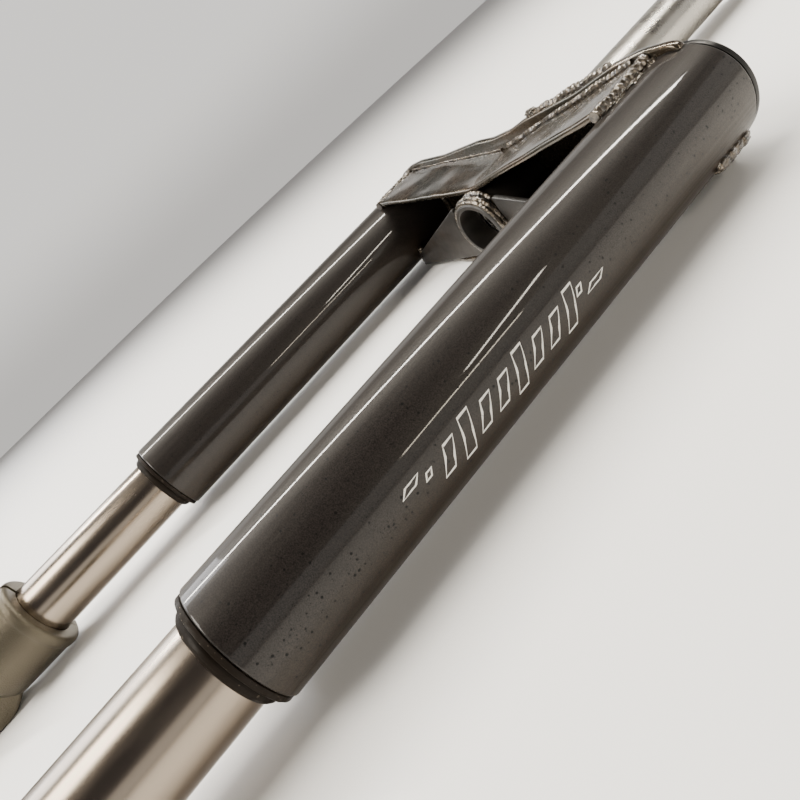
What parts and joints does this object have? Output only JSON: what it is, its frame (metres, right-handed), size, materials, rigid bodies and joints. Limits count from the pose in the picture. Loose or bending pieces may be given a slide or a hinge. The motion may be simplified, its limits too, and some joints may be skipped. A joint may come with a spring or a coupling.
{
  "type": "suspension fork",
  "caption": "Upside-down telescopic fork of the moped kind: fat lacquered outer tubes in a welded sheet crown with steerer, sprung chromed stanchions, cast feet with axle slots.",
  "frame": {"origin": "centre of the bottom of the fork's box, as it lies on its back; the steerer's axis is 17.8 mm above it and the legs' plane 23.8 mm", "axes": "+Y along the legs from the wheel end to the steerer, +Z the fork's front, +X the rider's left"},
  "size_m": [0.225, 0.5588, 0.0552],
  "materials": {
    "lacquered_tube": "clear-lacquered dark steel tube, glossy",
    "lacquered_sheet": "clear-lacquered welded sheet steel",
    "hard_chrome": "ground and hard-chromed",
    "cast_aluminium": "sand-cast, matt",
    "rubber": "moulded, greased",
    "nylon": "turned nylon",
    "spring_steel": "oil-tempered wire",
    "turned_steel": "turned",
    "zinc_plated": "zinc-plated"
  },
  "bodies": {
    "crown": {"left_outer_tube": "lacquered_tube", "left_seal_retainer": "lacquered_tube", "left_dust_seal": "rubber", "left_lower_bush": "nylon", "left_top_cap": "zinc_plated", "left_cap_o_ring": "rubber", "left_preload_spacer": "nylon", "left_guide_rod": "turned_steel", "left_rebound_buffer": "rubber", "left_main_spring": "spring_steel", "right_outer_tube": "lacquered_tube", "right_seal_retainer": "lacquered_tube", "right_dust_seal": "rubber", "right_lower_bush": "nylon", "right_top_cap": "zinc_plated", "right_cap_o_ring": "rubber", "right_preload_spacer": "nylon", "right_guide_rod": "turned_steel", "right_rebound_buffer": "rubber", "right_main_spring": "spring_steel", "crown_top_plate": "lacquered_sheet", "crown_front_plate": "lacquered_sheet", "crown_rear_plate": "lacquered_sheet", "left_crown_web": "lacquered_sheet", "right_crown_web": "lacquered_sheet", "steerer_sleeve": "lacquered_sheet", "steerer_tube": "turned_steel", "crown_race": "turned_steel"},
    "left_slider": {"left_stanchion": "hard_chrome", "left_guide_piston": "nylon", "left_fork_foot": "cast_aluminium", "left_pinch_bolt": "zinc_plated", "left_pinch_nut": "zinc_plated"},
    "right_slider": {"right_stanchion": "hard_chrome", "right_guide_piston": "nylon", "right_fork_foot": "cast_aluminium", "right_pinch_bolt": "zinc_plated", "right_pinch_nut": "zinc_plated"}
  },
  "joints": [
    {"name": "left_slide", "type": "slide", "parent": "crown", "child": "left_slider", "axis": [0, 1, 0], "range_m": [0, 0.06], "stiffness_N_per_m": 7000, "springref_m": -0.012, "deforming": ["left_main_spring"]},
    {"name": "right_slide", "type": "slide", "parent": "crown", "child": "right_slider", "axis": [0, 1, 0], "range_m": [0, 0.06], "stiffness_N_per_m": 7000, "springref_m": -0.012, "deforming": ["right_main_spring"]}
  ],
  "couplings": [
    {"joint": "right_slide", "follows": "left_slide", "ratio": 1}
  ]
}
